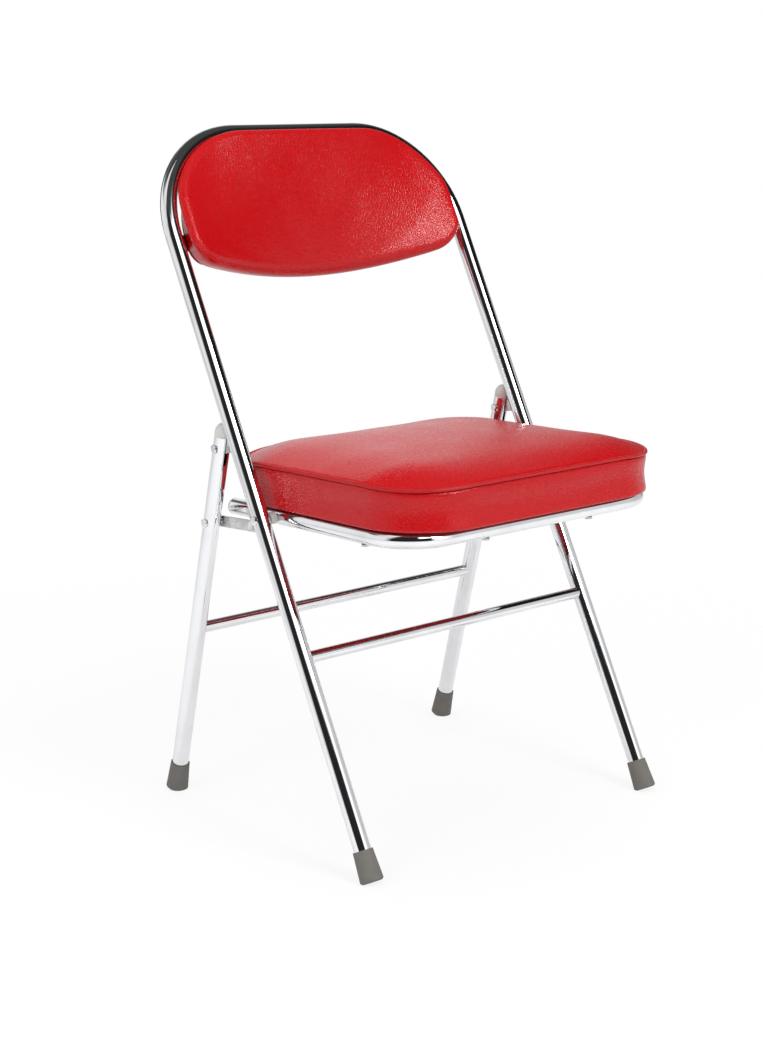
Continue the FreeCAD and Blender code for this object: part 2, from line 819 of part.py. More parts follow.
def placed_on_link(shape):
    """Place a shape drawn with the leg pin at the origin and the lug towards -Y."""
    placed = shape.copy()
    placed.rotate(Vector(0, 0, 0), AXIS_X, math.degrees(math.atan2(pin_z - lug_z, pin_y - lug_y)))
    placed.translate(Vector(0, pin_y, pin_z))
    return placed


def link_rivet():
    """Rivet in the seat end of a link, stopping just short of the lug that it faces."""
    lug_face = seat_tube_outer_x + weld_gap + lug_thickness + running_gap
    shank = rod(link_rivet_diameter, lug_face, link_outer_x + link_rivet_flange)
    inner = rod(link_rivet_head, lug_face, link_inner_x - fit_gap)
    outer = rod(link_rivet_head, link_outer_x + fit_gap, link_outer_x + link_rivet_flange)
    return shank.multiFuse([inner, outer]).removeSplitter().translated(Vector(0, lug_y, lug_z))


def save(name, shape):
    shape.exportStep(os.path.join("parts", name + ".step"))


def save_pair(name, shape):
    """Save a piece of the sitter's left side and its twin on the right."""
    save(name + "_left", shape)
    save(name + "_right", mirrored(shape))


def main():
    os.makedirs("parts", exist_ok=True)
    single_pieces = (
        front_frame_tube, front_crossbar, backrest_board, backrest_pad, backrest_tabs, backrest_screws,
        rear_crossbar, seat_frame_tube, seat_rear_crossbar, seat_board, seat_cushion, seat_piping,
        seat_screws,
    )
    paired_pieces = (
        hinge_tab, front_foot, seat_pivot_rivet, seat_spacer, rear_leg, leg_hinge_rivet, leg_end_cap,
        rear_foot, link_leg_pin, seat_end_plug, seat_link_lug, fold_link, link_rivet,
    )
    for piece in single_pieces:
        save(piece.__name__, piece())
    for piece in paired_pieces:
        save_pair(piece.__name__, piece())


main()
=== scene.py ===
import bpy
import json
import math
from mathutils import Matrix, Vector, noise


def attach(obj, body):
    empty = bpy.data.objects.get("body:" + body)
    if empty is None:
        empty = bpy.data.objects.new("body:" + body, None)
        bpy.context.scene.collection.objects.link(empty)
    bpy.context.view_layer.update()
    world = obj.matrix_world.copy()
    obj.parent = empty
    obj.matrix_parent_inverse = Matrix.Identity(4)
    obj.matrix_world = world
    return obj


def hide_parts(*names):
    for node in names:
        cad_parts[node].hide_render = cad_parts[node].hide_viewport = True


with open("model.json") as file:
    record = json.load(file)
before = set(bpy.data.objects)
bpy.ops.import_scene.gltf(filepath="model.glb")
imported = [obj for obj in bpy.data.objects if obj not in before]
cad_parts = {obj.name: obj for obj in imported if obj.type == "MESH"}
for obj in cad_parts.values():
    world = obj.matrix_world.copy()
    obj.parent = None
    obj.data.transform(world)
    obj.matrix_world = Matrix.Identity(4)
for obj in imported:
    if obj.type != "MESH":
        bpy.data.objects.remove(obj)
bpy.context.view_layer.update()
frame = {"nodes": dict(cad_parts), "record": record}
nodes = frame["nodes"]
scene = bpy.context.scene
print("frame loaded,", len(nodes), "nodes")

tiny = 0.000001  # least length to divide by
seatSlope = -2.0  # degrees
seatPivot = Vector((0.0, 0.0066179, 0.374))  # seat rivets, the cushion is drawn level about them
seatTurn = Matrix.Translation(seatPivot) @ Matrix.Rotation(math.radians(seatSlope), 4, "X")


# small helpers

def deselectAll():
    if bpy.context.object and bpy.context.object.mode != "OBJECT":
        bpy.ops.object.mode_set(mode="OBJECT")
    bpy.ops.object.select_all(action="DESELECT")


def makeActive(piece):
    deselectAll()
    piece.select_set(True)
    bpy.context.view_layer.objects.active = piece


def applyModifiers(piece):
    makeActive(piece)
    for modifier in list(piece.modifiers):
        bpy.ops.object.modifier_apply(modifier=modifier.name)


# shader building blocks

def newNode(tree, kind, x, y, **values):
    node = tree.nodes.new(kind)
    node.location = (x, y)
    for name, value in values.items():
        if hasattr(node, name):
            setattr(node, name, value)
        else:
            node.inputs[name].default_value = value
    return node


def newGroup(name, inputs, outputs):
    tree = bpy.data.node_groups.new(name, "ShaderNodeTree")
    for label, kind, value in inputs:
        socket = tree.interface.new_socket(name=label, in_out="INPUT", socket_type=kind)
        socket.default_value = value
    for label, kind in outputs:
        tree.interface.new_socket(name=label, in_out="OUTPUT", socket_type=kind)
    start = newNode(tree, "NodeGroupInput", -900, 0)
    end = newNode(tree, "NodeGroupOutput", 700, 0)
    return tree, start, end


def handlingWear():  # smudges, faint scratches and slight unevenness on metal
    tree, start, end = newGroup(
        "handlingWear",
        [("Vector", "NodeSocketVector", (0, 0, 0)), ("Smudge Scale", "NodeSocketFloat", 14.0),
         ("Scratch Scale", "NodeSocketFloat", 160.0)],
        [("Smudge", "NodeSocketFloat"), ("Scratch", "NodeSocketFloat")])
    smudge = newNode(tree, "ShaderNodeTexNoise", -600, 160, Detail=5.0, Roughness=0.6)
    soften = newNode(tree, "ShaderNodeMapRange", -300, 160)
    soften.inputs["From Min"].default_value = 0.42
    soften.inputs["From Max"].default_value = 0.72
    stretch = newNode(tree, "ShaderNodeMapping", -700, -160)
    stretch.inputs["Scale"].default_value = (1.0, 1.0, 0.06)
    scratch = newNode(tree, "ShaderNodeTexNoise", -480, -160, Detail=3.0, Roughness=0.7)
    sharpen = newNode(tree, "ShaderNodeMapRange", -240, -160)
    sharpen.inputs["From Min"].default_value = 0.62
    sharpen.inputs["From Max"].default_value = 0.74
    link = tree.links.new
    link(start.outputs["Vector"], smudge.inputs["Vector"])
    link(start.outputs["Smudge Scale"], smudge.inputs["Scale"])
    link(smudge.outputs["Fac"], soften.inputs["Value"])
    link(soften.outputs["Result"], end.inputs["Smudge"])
    link(start.outputs["Vector"], stretch.inputs["Vector"])
    link(stretch.outputs["Vector"], scratch.inputs["Vector"])
    link(start.outputs["Scratch Scale"], scratch.inputs["Scale"])
    link(scratch.outputs["Fac"], sharpen.inputs["Value"])
    link(sharpen.outputs["Result"], end.inputs["Scratch"])
    return tree


def pebbleGrain():  # pressed leather grain: rounded cells with creases between, in patches of varied depth
    tree, start, end = newGroup(
        "pebbleGrain",
        [("Vector", "NodeSocketVector", (0, 0, 0)), ("Cell Scale", "NodeSocketFloat", 420.0),
         ("Patch Scale", "NodeSocketFloat", 9.0)],
        [("Height", "NodeSocketFloat"), ("Crease", "NodeSocketFloat"), ("Patch", "NodeSocketFloat")])
    drift = newNode(tree, "ShaderNodeTexNoise", -760, 260, Scale=90.0, Detail=2.0)
    nudge = newNode(tree, "ShaderNodeVectorMath", -560, 260, operation="MULTIPLY_ADD")
    nudge.inputs[1].default_value = (0.0022, 0.0022, 0.0022)
    cells = newNode(tree, "ShaderNodeTexVoronoi", -340, 260, feature="DISTANCE_TO_EDGE")
    dome = newNode(tree, "ShaderNodeMapRange", -120, 260, interpolation_type="SMOOTHSTEP")
    dome.inputs["From Max"].default_value = 0.28
    fine = newNode(tree, "ShaderNodeTexNoise", -340, -60, Scale=1500.0, Detail=2.0)
    blend = newNode(tree, "ShaderNodeMath", 120, 160, operation="MULTIPLY_ADD")
    blend.inputs[1].default_value = 0.22
    patch = newNode(tree, "ShaderNodeTexNoise", -340, -300, Detail=3.0, Roughness=0.55)
    spread = newNode(tree, "ShaderNodeMapRange", -120, -300)
    spread.inputs["From Min"].default_value = 0.36
    spread.inputs["From Max"].default_value = 0.66
    crease = newNode(tree, "ShaderNodeMath", 120, 380, operation="SUBTRACT")
    crease.inputs[0].default_value = 1.0
    link = tree.links.new
    link(start.outputs["Vector"], drift.inputs["Vector"])
    link(drift.outputs["Color"], nudge.inputs[0])
    link(start.outputs["Vector"], nudge.inputs[2])
    link(nudge.outputs["Vector"], cells.inputs["Vector"])
    link(start.outputs["Cell Scale"], cells.inputs["Scale"])
    link(cells.outputs["Distance"], dome.inputs["Value"])
    link(start.outputs["Vector"], fine.inputs["Vector"])
    link(fine.outputs["Fac"], blend.inputs[0])
    link(dome.outputs["Result"], blend.inputs[2])
    link(blend.outputs["Value"], end.inputs["Height"])
    link(dome.outputs["Result"], crease.inputs[1])
    link(crease.outputs["Value"], end.inputs["Crease"])
    link(start.outputs["Vector"], patch.inputs["Vector"])
    link(start.outputs["Patch Scale"], patch.inputs["Scale"])
    link(patch.outputs["Fac"], spread.inputs["Value"])
    link(spread.outputs["Result"], end.inputs["Patch"])
    return tree


wearGroup = handlingWear()
grainGroup = pebbleGrain()


def newMaterial(name, color):
    material = bpy.data.materials.new(name)
    material.use_nodes = True
    material.diffuse_color = (*color, 1.0)
    tree = material.node_tree
    shader = tree.nodes["Principled BSDF"]
    shader.inputs["Base Color"].default_value = (*color, 1.0)
    place = newNode(tree, "ShaderNodeTexCoord", -1300, 0)
    return material, tree, shader, place.outputs["Object"]


def addGroup(tree, group, vector, x, y, **values):
    node = newNode(tree, "ShaderNodeGroup", x, y)
    node.node_tree = group
    for name, value in values.items():
        node.inputs[name.replace("_", " ")].default_value = value
    tree.links.new(vector, node.inputs["Vector"])
    return node


def mixColor(tree, factor, first, second, x, y):
    node = newNode(tree, "ShaderNodeMix", x, y, data_type="RGBA")
    tree.links.new(factor, node.inputs["Factor"])
    node.inputs[6].default_value = (*first, 1.0)  # sockets 6, 7 and out 2 are the mix node's colours
    node.inputs[7].default_value = (*second, 1.0)
    return node.outputs[2]


def mapValue(tree, value, low, high, x, y):
    node = newNode(tree, "ShaderNodeMapRange", x, y)
    node.inputs["To Min"].default_value = low
    node.inputs["To Max"].default_value = high
    tree.links.new(value, node.inputs["Value"])
    return node.outputs["Result"]


def addBump(tree, shader, height, strength, distance, x, y):
    node = newNode(tree, "ShaderNodeBump", x, y, Strength=strength, Distance=distance)
    tree.links.new(height, node.inputs["Height"])
    tree.links.new(node.outputs["Normal"], shader.inputs["Normal"])
    return node


# materials

scratchDepth = 0.0002
metalLooks = {
    "chromeTube": {"bright": (0.84, 0.85, 0.87), "dull": (0.74, 0.75, 0.77), "smooth": 0.035, "rough": 0.11,
                   "smudgeScale": 16.0, "scratchScale": 190.0, "bump": 0.04},
    "platedSteel": {"bright": (0.66, 0.66, 0.65), "dull": (0.48, 0.48, 0.47), "smooth": 0.24, "rough": 0.46,
                    "smudgeScale": 55.0, "scratchScale": 420.0, "bump": 0.18},
    "polishedRivet": {"bright": (0.78, 0.78, 0.79), "dull": (0.60, 0.60, 0.61), "smooth": 0.07,
                      "rough": 0.22, "smudgeScale": 70.0, "scratchScale": 500.0, "bump": 0.08},
}


def metalMaterial(name):
    look = metalLooks[name]
    material, tree, shader, place = newMaterial(name, look["bright"])
    shader.inputs["Metallic"].default_value = 1.0
    wear = addGroup(tree, wearGroup, place, -900, 0, Smudge_Scale=look["smudgeScale"],
                    Scratch_Scale=look["scratchScale"])
    tree.links.new(mixColor(tree, wear.outputs["Smudge"], look["bright"], look["dull"], -500, 200),
                   shader.inputs["Base Color"])
    tree.links.new(mapValue(tree, wear.outputs["Smudge"], look["smooth"], look["rough"], -500, -60),
                   shader.inputs["Roughness"])
    addBump(tree, shader, wear.outputs["Scratch"], look["bump"], scratchDepth, -300, -300)
    return material


# the second, darker red is painted shade for the creases of the grain
vinylLook = {"red": (0.50, 0.0033, 0.0062), "creaseShade": (0.41, 0.0024, 0.0046), "cellScale": 280.0,
             "patchScale": 11.0, "roughLow": 0.13, "roughHigh": 0.19, "creaseRough": 0.12, "bump": 0.30,
             "bumpDepth": 0.00055}
pipingLook = {"red": (0.50, 0.0045, 0.0075), "creaseShade": (0.34, 0.0030, 0.0050), "cellScale": 900.0,
              "patchScale": 30.0, "roughLow": 0.24, "roughHigh": 0.38, "creaseRough": 0.15, "bump": 0.4,
              "bumpDepth": 0.0002}
vinylIor = 1.38


def vinylMaterial(name, look):
    material, tree, shader, place = newMaterial(name, look["red"])
    grain = addGroup(tree, grainGroup, place, -900, 0, Cell_Scale=look["cellScale"],
                     Patch_Scale=look["patchScale"])
    # painted shade: the creases of the grain get the darker red
    tree.links.new(mixColor(tree, grain.outputs["Crease"], look["red"], look["creaseShade"], -500, 240),
                   shader.inputs["Base Color"])
    dull = newNode(tree, "ShaderNodeMath", -300, -40, operation="MULTIPLY_ADD")  # the creases shine less
    dull.inputs[1].default_value = look["creaseRough"]
    tree.links.new(grain.outputs["Crease"], dull.inputs[0])
    tree.links.new(mapValue(tree, grain.outputs["Patch"], look["roughLow"], look["roughHigh"], -500, -40),
                   dull.inputs[2])
    tree.links.new(dull.outputs["Value"], shader.inputs["Roughness"])
    addBump(tree, shader, grain.outputs["Height"], look["bump"], look["bumpDepth"], -300, -300)
    shader.inputs["IOR"].default_value = vinylIor
    return material


plainLooks = {  # moulded and cloth finishes: a cloud of two tones over a fine surface
    "greyRubber": {"main": (0.112, 0.107, 0.097), "other": (0.17, 0.162, 0.148), "cloudScale": 60.0,
                   "cloudDetail": 4.0, "cloudRough": 0.5, "fineScale": 900.0, "roughLow": 0.62,
                   "roughHigh": 0.86, "bump": 0.3, "bumpDepth": 0.0002, "specular": 0.5},
    "greyPlastic": {"main": (0.62, 0.62, 0.60), "other": (0.52, 0.52, 0.50), "cloudScale": 120.0,
                    "cloudDetail": 3.0, "cloudRough": 0.5, "fineScale": 1400.0, "roughLow": 0.36,
                    "roughHigh": 0.52, "bump": 0.2, "bumpDepth": 0.0001, "specular": 0.5},
    "coveredBoard": {"main": (0.24, 0.0040, 0.0065), "other": (0.15, 0.0030, 0.0048), "cloudScale": 18.0,
                     "cloudDetail": 4.0, "cloudRough": 0.6, "fineScale": 700.0, "roughLow": 0.55,
                     "roughHigh": 0.8, "bump": 0.35, "bumpDepth": 0.0002, "specular": 0.18},  # thin cloth
}


def plainMaterial(name):
    look = plainLooks[name]
    material, tree, shader, place = newMaterial(name, look["main"])
    cloud = newNode(tree, "ShaderNodeTexNoise", -900, 160, Scale=look["cloudScale"],
                    Detail=look["cloudDetail"], Roughness=look["cloudRough"])
    fine = newNode(tree, "ShaderNodeTexNoise", -900, -160, Scale=look["fineScale"], Detail=2.0)
    tree.links.new(place, cloud.inputs["Vector"])
    tree.links.new(place, fine.inputs["Vector"])
    tree.links.new(mixColor(tree, cloud.outputs["Fac"], look["main"], look["other"], -500, 200),
                   shader.inputs["Base Color"])
    tree.links.new(mapValue(tree, cloud.outputs["Fac"], look["roughLow"], look["roughHigh"], -500, -60),
                   shader.inputs["Roughness"])
    addBump(tree, shader, fine.outputs["Fac"], look["bump"], look["bumpDepth"], -300, -300)
    shader.inputs["Specular IOR Level"].default_value = look["specular"]
    return material


chromeTube = metalMaterial("chromeTube")
platedSteel = metalMaterial("platedSteel")
polishedRivet = metalMaterial("polishedRivet")
greyRubber = plainMaterial("greyRubber")
greyPlastic = plainMaterial("greyPlastic")
redVinyl = vinylMaterial("redVinyl", vinylLook)
redPiping = vinylMaterial("redPiping", pipingLook)
coveredBoard = plainMaterial("coveredBoard")
slotMaterials = {"chrome_tube": chromeTube, "plated_steel": platedSteel, "grey_rubber": greyRubber,
                 "grey_plastic": greyPlastic, "red_vinyl": redVinyl, "covered_board": coveredBoard}
for part in frame["record"]["subparts"]:
    nodeMesh = nodes[part["node"]].data
    nodeMesh.materials.clear()
    turned = "rivet" in part["node"] or "pin_" in part["node"]  # turned heads are brighter than plates
    nodeMesh.materials.append(polishedRivet if turned else slotMaterials[part["material_slot"]])
print("materials on the frame")


# soft pieces

def discSpot(u, v):  # square grid to round, rows stay even
    return u * math.sqrt(1.0 - v * v / 2.0), v * math.sqrt(1.0 - u * u / 2.0)


def strip(first, second):  # quads between two closed loops
    count = len(first)
    return [(first[i], second[i], second[(i + 1) % count], first[(i + 1) % count]) for i in range(count)]


def crowdOut(spot, crowd):  # rows draw together towards the edge, where the skin turns
    length = math.hypot(*spot)
    if length < tiny:
        return spot
    scale = 1.0 - crowd + crowd * math.sin(math.pi / 2.0 * min(length, 1.0)) / length
    return spot[0] * scale, spot[1] * scale


def softForm(pieceName, cells, crowd, face, levels, rim, rear):  # front grid, edge loops, rear grid
    steps = [2.0 * step / cells - 1.0 for step in range(cells + 1)]
    spots = [crowdOut(discSpot(u, v), crowd) for v in steps for u in steps]
    row = cells + 1
    loop = list(range(cells)) + [cells + row * step for step in range(cells)]
    loop += [row * row - 1 - step for step in range(cells)]
    loop += [row * (cells - step) for step in range(cells)]
    quads = [(i, i + 1, i + row + 1, i + row) for i in range(row * cells) if i % row < cells]
    points = [face(spot) for spot in spots]
    faces = list(quads)
    last = loop
    for level in range(levels):
        fresh = list(range(len(points), len(points) + len(loop)))
        points += [rim(spots[index], level) for index in loop]
        faces += strip(last, fresh)
        last = fresh
    start = len(points)
    points += [rear(spot) for spot in spots]
    faces += strip(last, [start + index for index in loop])
    faces += [tuple(start + index for index in reversed(quad)) for quad in quads]
    mesh = bpy.data.meshes.new(pieceName)
    mesh.from_pydata(points, [], faces)
    piece = bpy.data.objects.new(pieceName, mesh)
    scene.collection.objects.link(piece)
    free = set(range(row * row)) - set(loop)
    return piece, free, row * row


halvings = 26


def reachOut(depth, spot, inset):  # how far the ray through the spot runs until the edge is that near
    length = math.hypot(*spot)
    if length < tiny:
        return 0.0
    near, far = 0.0, 2.0
    for step in range(halvings):
        middle = (near + far) / 2.0
        if depth(spot[0] / length * middle, spot[1] / length * middle) > inset:
            near = middle
        else:
            far = middle
    return near


def inflate(piece, swelling, pressure, frames, cap):  # the filling presses out all that isn't held
    group = piece.vertex_groups.new(name="held")
    group.add([v.index for v in piece.data.vertices if v.index not in swelling], 1.0, "REPLACE")
    before = [v.co.copy() for v in piece.data.vertices]
    cloth = piece.modifiers.new("stuffing", "CLOTH")
    cloth.settings.quality = 6
    cloth.settings.mass = 0.35
    cloth.settings.tension_stiffness = 25.0
    cloth.settings.compression_stiffness = 25.0
    cloth.settings.shear_stiffness = 10.0
    cloth.settings.bending_stiffness = 4.0
    cloth.settings.use_pressure = True
    cloth.settings.uniform_pressure_force = pressure
    cloth.settings.vertex_group_mass = "held"
    cloth.settings.effector_weights.gravity = 0.0
    cloth.collision_settings.use_collision = False
    cloth.point_cache.frame_start = 1
    cloth.point_cache.frame_end = frames
    for step in range(1, frames + 1):
        scene.frame_set(step)
    swollen = piece.evaluated_get(bpy.context.evaluated_depsgraph_get())
    after = [v.co.copy() for v in swollen.data.vertices]
    piece.modifiers.remove(cloth)
    furthest = max((new - old).length for old, new in zip(before, after))
    share = min(1.0, cap / max(furthest, tiny))  # one share for all keeps the swell even
    for vertex, old, new in zip(piece.data.vertices, before, after):
        vertex.co = old + (new - old) * share
    piece.vertex_groups.clear()
    scene.frame_set(1)


def refine(piece, loose, rounds):  # the ripples of the filling are eased, then the skin gets finer
    group = piece.vertex_groups.new(name="loose")
    group.add(sorted(loose), 1.0, "REPLACE")
    ease = piece.modifiers.new("ease", "SMOOTH")
    ease.factor = 0.5
    ease.iterations = rounds
    ease.vertex_group = "loose"
    finer = piece.modifiers.new("finer", "SUBSURF")
    finer.levels = 1
    finer.render_levels = 1
    applyModifiers(piece)
    piece.vertex_groups.clear()


seatLook = {
    "cells": 60, "crowd": 0.3, "ease": 12,  # how fine and how smooth the skin is
    "half": 0.2025, "front": -0.246, "rear": 0.120,  # outline, measured from the rivets
    "frontCorner": 0.085, "rearCorner": 0.095, "corner": 0.090,
    "seam": 0.0575, "groove": 0.0048, "lift": 0.0015,  # the welt's height, the face starts just over it
    "crown": 0.0145, "reach": 0.078, "dome": 0.0015, "fullness": 2.2,
    "boardEdge": 0.0047, "boardTop": 0.01885,  # pocket that the board fills
    "pressure": 4.0, "frames": 20, "cap": 0.0045, "swellLoops": (3, 8),
    "hem": 0.012, "droop": 0.0025, "wander": 0.0006, "wanderScale": 14.0, "wanderLayer": 3.0,
    "pleat": 0.0005, "pleatScale": 75.0, "pleatRise": 9.0, "plain": 0.35, "gather": 0.65, "steep": 1.6,
    "slack": 0.0005, "slackScale": 11.0, "slackLayer": 7.0,
    "edge": [(0.0048, 0.0565), (0.0028, 0.0543), (0.0015, 0.0525), (0.0022, 0.0460), (0.0034, 0.0390),
             (0.0040, 0.0330), (0.0036, 0.0260), (0.0026, 0.0190), (0.0016, 0.0130), (0.0015, 0.0106),
             (0.0026, 0.0097), (0.0046, 0.0097), (0.0047, 0.0104), (0.0047, 0.0182)],  # inset, height
}


def seatDepth(across, back):  # distance in from the seat's rounded outline
    look = seatLook
    halfDeep = (look["rear"] - look["front"]) / 2.0
    corner = look["rearCorner"] if back > 0 else look["frontCorner"]
    pastX = abs(across) * look["half"] - (look["half"] - corner)
    pastY = abs(back) * halfDeep - (halfDeep - corner)
    return corner - math.hypot(max(pastX, 0.0), max(pastY, 0.0)) - min(max(pastX, pastY), 0.0)


def seatPoint(spot, inset, height):
    look = seatLook
    scale = reachOut(seatDepth, spot, inset)
    across, back = spot[0] * scale, spot[1] * scale
    if height is None:
        share = min(1.0, max(0.0, seatDepth(across, back) - inset) / look["reach"])
        height = look["seam"] + look["lift"] + look["crown"] * (1.0 - (1.0 - share) ** look["fullness"])
        height += look["dome"] * (1.0 - spot[0] ** 2 - spot[1] ** 2)
    halfDeep = (look["rear"] - look["front"]) / 2.0
    middle = (look["rear"] + look["front"]) / 2.0
    return seatTurn @ Vector((across * look["half"], middle + back * halfDeep, height))


def cornerShare(spot):  # 0 on the straight sides, 1 out at a rounded corner
    look = seatLook
    pastX = abs(spot.x) - (look["half"] - look["corner"])
    pastY = max(spot.y - (look["rear"] - look["corner"]), look["front"] + look["corner"] - spot.y)
    if pastX <= 0 or pastY <= 0:
        return 0.0
    return min(1.0, 2.0 * pastX * pastY / look["corner"] ** 2)


def sag(spot):  # the welt hangs a little at the corners and wanders along its way
    look = seatLook
    scale = look["wanderScale"]
    drift = noise.noise(Vector((spot.x * scale, spot.y * scale, look["wanderLayer"])))
    return -look["droop"] * cornerShare(spot) + look["wander"] * drift


def puff(spot, normal, lift):  # how far the skin stands out: pleats on the sides, slack on the face
    look = seatLook
    scale = look["pleatScale"]
    wave = noise.noise(Vector((spot.x * scale, spot.y * scale, spot.z * look["pleatRise"])))
    scale = look["slackScale"]
    loose = noise.noise(Vector((spot.x * scale, spot.y * scale, look["slackLayer"])))
    gather = look["plain"] + look["gather"] * cornerShare(spot)
    side = 1.0 - min(1.0, abs(normal.z) * look["steep"])  # 1 on the upright sides, 0 on the face
    out = look["pleat"] * wave * gather * side * math.sin(math.pi * lift)
    out += look["slack"] * loose * (1.0 - side) * lift
    return out


def shapeSeat(piece, pleats):
    piece.data.update()
    normals = [v.normal.copy() for v in piece.data.vertices]
    toLevel = seatTurn.inverted()  # seat pieces seen level about the rivets
    straighten = seatTurn.to_3x3().inverted()
    hem = seatLook["hem"]
    for vertex, normal in zip(piece.data.vertices, normals):
        spot = toLevel @ vertex.co
        lift = min(1.0, max(0.0, (spot.z - hem) / (seatLook["seam"] - hem)))
        shift = Vector((0.0, 0.0, sag(spot) * lift))
        if pleats:
            upright = straighten @ normal
            shift += upright * puff(spot, upright, lift)
        vertex.co = seatTurn @ (spot + shift)


def makeSeatCushion():
    look = seatLook
    cushion, free, faceCount = softForm(
        "seatCushion", look["cells"], look["crowd"],
        lambda spot: seatPoint(spot, look["groove"], None), len(look["edge"]),
        lambda spot, level: seatPoint(spot, *look["edge"][level]),
        lambda spot: seatPoint(spot, look["boardEdge"], look["boardTop"]))
    around = 4 * look["cells"]
    first, last = (faceCount + count * around for count in look["swellLoops"])
    inflate(cushion, free | set(range(first, last)), look["pressure"], look["frames"], look["cap"])
    refine(cushion, free, look["ease"])
    shapeSeat(cushion, True)
    bpy.ops.object.shade_smooth()
    cushion.data.materials.clear()
    cushion.data.materials.append(redVinyl)
    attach(cushion, "seat")
    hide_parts("seat_cushion")
    return cushion


def makeSeatWelt():
    welt = bpy.data.objects.new("seatWelt", nodes["seat_piping"].data.copy())
    scene.collection.objects.link(welt)
    makeActive(welt)
    bpy.ops.object.mode_set(mode="EDIT")
    bpy.ops.mesh.select_all(action="SELECT")
    bpy.ops.mesh.remove_doubles(threshold=0.00005)
    bpy.ops.mesh.normals_make_consistent(inside=False)
    bpy.ops.object.mode_set(mode="OBJECT")
    shapeSeat(welt, False)
    bpy.ops.object.shade_smooth()
    welt.data.materials.clear()
    welt.data.materials.append(redPiping)
    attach(welt, "seat")
    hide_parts("seat_piping")
    return welt


backLook = {
    "cells": 60, "crowd": 0.72, "ease": 4,  # how fine and how smooth the skin is
    "lean": 27.7, "footY": -0.189736,  # the bent tube
    "tubeX": 0.220, "hoopTop": 0.897, "hoopRadius": 0.127,
    "wide": 0.2045, "high": 0.8815, "shoulder": 0.1115,  # outline, measured along the leaning tubes
    "bottom": 0.722, "sweep": 1.950, "corner": 0.031, "middle": 0.798, "halfHigh": 0.083,
    "lip": 0.0115, "lipRise": (0.770, 0.826), "sideLip": 0.0035, "sideRise": (0.735, 0.760),
    "hollow": 0.050, "behind": 0.010, "faceInset": 0.0026, "edgeOut": 0.0278, "roll": 0.0040,
    "rollReach": 0.008, "fullness": 2.2, "dome": 0.0008, "rear": (0.0098, 0.0010),
    "pressure": 3.0, "frames": 20, "cap": 0.0022, "clear": 0.0105,
    "edge": [(-1.0, 0.0007, 0.0252), (-0.98, 0.0001, 0.0222), (-0.7, 0.0004, 0.0190),
             (-0.2, 0.0013, 0.0158), (0.0, 0.0028, 0.0120), (0.0, 0.0045, 0.0076),
             (0.0, 0.0062, 0.0040), (0.0, 0.0078, 0.0018)],  # share of the lip, inset, how far out
}


def backDepth(across, up):  # distance in from the backrest outline, in shares of its half sizes
    look = backLook
    x = abs(across) * look["wide"]
    along = look["middle"] + up * look["halfHigh"]
    pastX = x - (look["wide"] - look["shoulder"])
    pastZ = along - (look["high"] - look["shoulder"])
    over = look["shoulder"] - math.hypot(max(pastX, 0.0), max(pastZ, 0.0)) - min(max(pastX, pastZ), 0.0)
    corner = look["corner"]
    pastX = x - (look["wide"] - corner)
    pastR = math.hypot(x, look["bottom"] + look["sweep"] - along) - (look["sweep"] - corner)
    under = corner - math.hypot(max(pastX, 0.0), max(pastR, 0.0)) - min(max(pastX, pastR), 0.0)
    return min(over, under)


def easeIn(value, start, end):
    share = min(1.0, max(0.0, (value - start) / (end - start)))
    return share * share * (3.0 - 2.0 * share)


def leaned(x, along, behind):  # from measures along and behind the leaning tubes to the row frame
    lean = math.radians(backLook["lean"])
    return Vector((x, backLook["footY"] + along * math.sin(lean) + behind * math.cos(lean),
                   along * math.cos(lean) - behind * math.sin(lean)))


def backPoint(spot, lipShare, inset, out):
    look = backLook
    length = max(math.hypot(*spot), tiny)
    edgeUp = look["middle"] + spot[1] / length * reachOut(backDepth, spot, 0.0) * look["halfHigh"]
    lip = look["sideLip"] * easeIn(edgeUp, *look["sideRise"])
    lip += (look["lip"] - look["sideLip"]) * easeIn(edgeUp, *look["lipRise"])
    edge = lip * lipShare + inset
    scale = reachOut(backDepth, spot, edge)
    across, up = spot[0] * scale, spot[1] * scale
    x = across * look["wide"]
    along = look["middle"] + up * look["halfHigh"]
    if out is None:
        share = min(1.0, max(0.0, backDepth(across, up) - edge) / look["rollReach"])
        out = look["edgeOut"] + look["roll"] * (1.0 - (1.0 - share) ** look["fullness"])
        out += look["dome"] * (1.0 - length ** 2)
    hollow = look["hollow"] * (look["high"] - along) / (look["high"] - look["bottom"])
    behind = look["behind"] - out + hollow * max(0.0, 1.0 - (x / look["wide"]) ** 2)
    return leaned(x, along, behind)


def clearHoop(pad):  # the cover presses against the bent tube and never runs into it
    look = backLook
    middle = look["tubeX"] - look["hoopRadius"]
    shoulder = look["hoopTop"] - look["hoopRadius"]
    cosine = math.cos(math.radians(look["lean"]))
    sine = math.sin(math.radians(look["lean"]))
    for vertex in pad.data.vertices:
        y = vertex.co.y - look["footY"]
        along = y * sine + vertex.co.z * cosine
        behind = y * cosine - vertex.co.z * sine
        x = abs(vertex.co.x)
        side = 1.0 if vertex.co.x > 0 else -1.0
        if along < shoulder:
            nearest = (look["tubeX"], along)
        elif x < middle:
            nearest = (x, look["hoopTop"])
        else:
            reach = math.hypot(x - middle, along - shoulder)
            scale = look["hoopRadius"] / max(reach, 0.001)
            nearest = (middle + (x - middle) * scale, shoulder + (along - shoulder) * scale)
        away = Vector((x - nearest[0], along - nearest[1], behind))
        if away.length < look["clear"]:
            away *= look["clear"] / max(away.length, 0.0001)
            vertex.co = leaned((nearest[0] + away.x) * side, nearest[1] + away.y, away.z)


